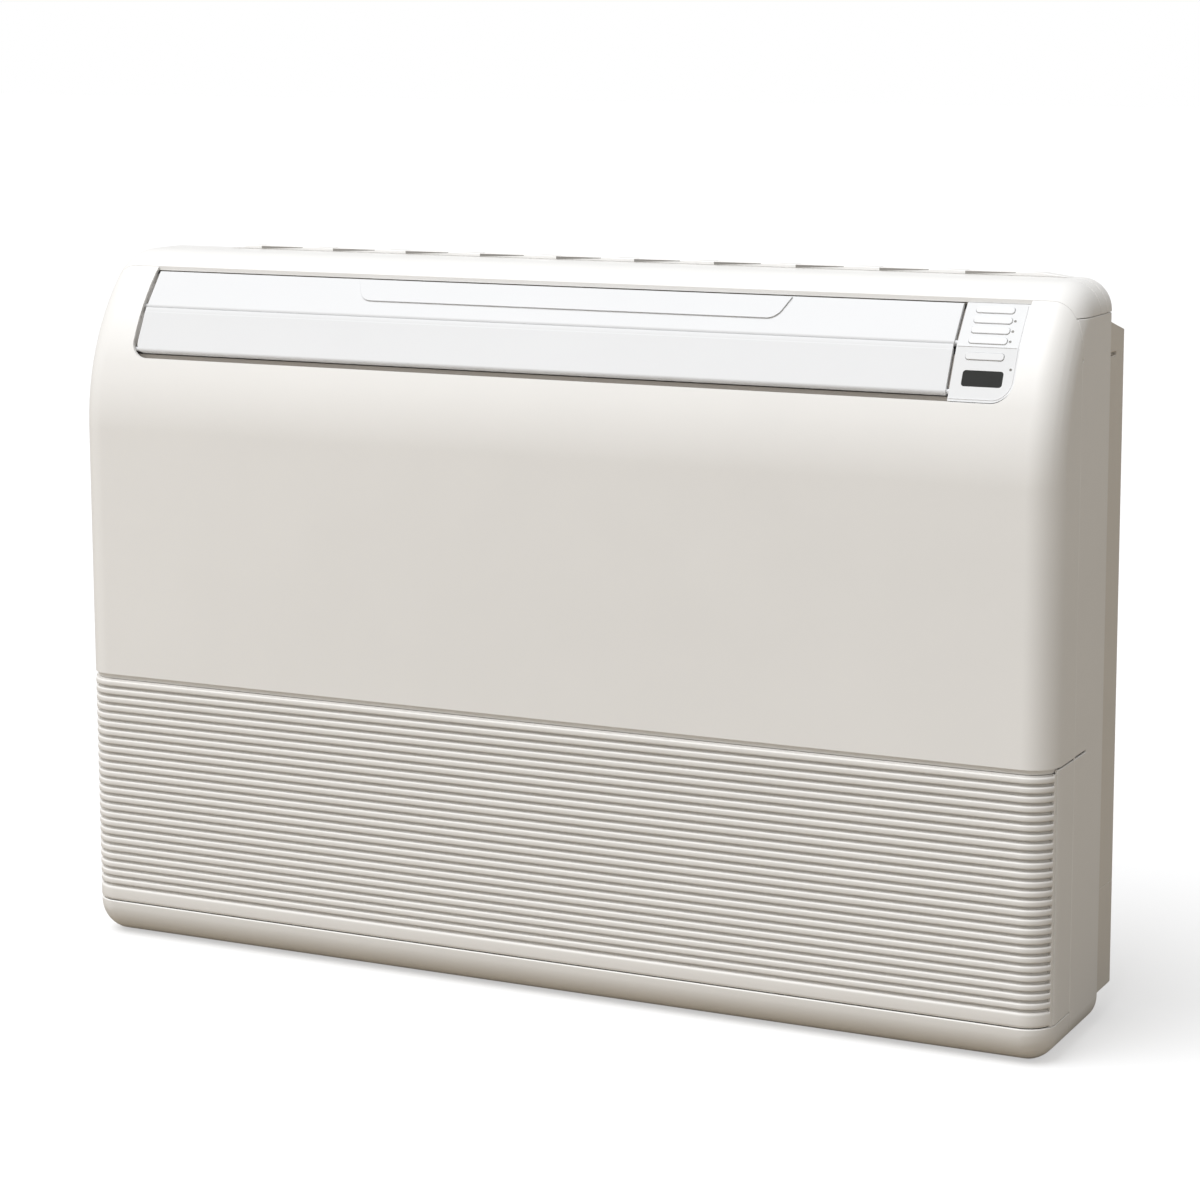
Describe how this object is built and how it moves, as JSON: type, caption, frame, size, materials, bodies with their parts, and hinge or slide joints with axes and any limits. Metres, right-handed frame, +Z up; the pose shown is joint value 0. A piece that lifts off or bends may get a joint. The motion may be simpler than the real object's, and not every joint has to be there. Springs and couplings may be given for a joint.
{
  "type": "floor console air conditioner",
  "caption": "Floor console air conditioner with a ribbed intake grille that drops open, two tilting outlet louvers, push buttons and a display, for heating and cooling a room.",
  "frame": {"origin": "on the floor under the middle of the cabinet's overall box", "axes": "+X to the cabinet's right seen from the front, +Y to the wall behind it, +Z up"},
  "size_m": [0.975, 0.199, 0.666],
  "materials": {
    "cover_plastic": "fine satin moulding",
    "grille_plastic": "fine satin moulding",
    "louver_plastic": "smooth satin moulding",
    "button_plastic": "smooth moulding",
    "inner_plastic": "dark moulding",
    "casing_plastic": "coarse satin moulding",
    "casing_paint": "powder coat",
    "filter_mesh": "woven mesh in a frame",
    "coil_fins": "pressed fins",
    "display_glass": "polished dark window",
    "lamp_lens": "smoked lens"
  },
  "bodies": {
    "cabinet": {"air_filter_left": "filter_mesh", "air_filter_right": "filter_mesh", "base_rail": "cover_plastic", "blower_housing": "inner_plastic", "bottom_plate": "casing_paint", "button_lamps": "lamp_lens", "cap_back": "casing_paint", "coil_housing": "inner_plastic", "control_panel": "cover_plastic", "display_window": "display_glass", "duct_floor": "inner_plastic", "duct_left_wall": "inner_plastic", "duct_right_wall": "inner_plastic", "duct_roof": "inner_plastic", "evaporator_coil": "coil_fins", "front_panel": "cover_plastic", "grille_left_cheek": "cover_plastic", "grille_right_cheek": "cover_plastic", "left_side_panel": "cover_plastic", "pilot_lamp": "lamp_lens", "pipe_bay": "casing_plastic", "rear_casing": "casing_plastic", "right_side_panel": "cover_plastic", "top_cap": "cover_plastic", "top_rim": "cover_plastic", "vane_rail": "inner_plastic", "vertical_vanes": "inner_plastic"},
    "grille": {"intake_grille": "grille_plastic"},
    "lower_louver": {"lower_louver": "louver_plastic"},
    "upper_louver": {"upper_louver": "louver_plastic"},
    "button_1": {"button_1": "button_plastic"},
    "button_2": {"button_2": "button_plastic"},
    "button_3": {"button_3": "button_plastic"},
    "button_4": {"button_4": "button_plastic"},
    "button_5": {"button_5": "button_plastic"}
  },
  "joints": [
    {"name": "grille_hinge", "type": "hinge", "parent": "cabinet", "child": "grille", "pos_m": [0, -0.0965, 0.0379], "axis": [1, 0, 0], "range_deg": [0, 80]},
    {"name": "lower_louver_hinge", "type": "hinge", "parent": "cabinet", "child": "lower_louver", "pos_m": [0, -0.07976, 0.5726], "axis": [1, 0, 0], "range_deg": [0, 70]},
    {"name": "upper_louver_hinge", "type": "hinge", "parent": "cabinet", "child": "upper_louver", "pos_m": [0, -0.05946, 0.61181], "axis": [1, 0, 0], "range_deg": [0, 70]},
    {"name": "button_1_push", "type": "slide", "parent": "cabinet", "child": "button_1", "axis": [0, 0.7911, -0.6117], "range_m": [0, 0.0008], "stiffness_N_per_m": 400},
    {"name": "button_2_push", "type": "slide", "parent": "cabinet", "child": "button_2", "axis": [0, 0.7911, -0.6117], "range_m": [0, 0.0008], "stiffness_N_per_m": 400},
    {"name": "button_3_push", "type": "slide", "parent": "cabinet", "child": "button_3", "axis": [0, 0.7911, -0.6117], "range_m": [0, 0.0008], "stiffness_N_per_m": 400},
    {"name": "button_4_push", "type": "slide", "parent": "cabinet", "child": "button_4", "axis": [0, 0.7911, -0.6117], "range_m": [0, 0.0008], "stiffness_N_per_m": 400},
    {"name": "button_5_push", "type": "slide", "parent": "cabinet", "child": "button_5", "axis": [0, 0.8976, -0.4409], "range_m": [0, 0.0008], "stiffness_N_per_m": 400}
  ]
}
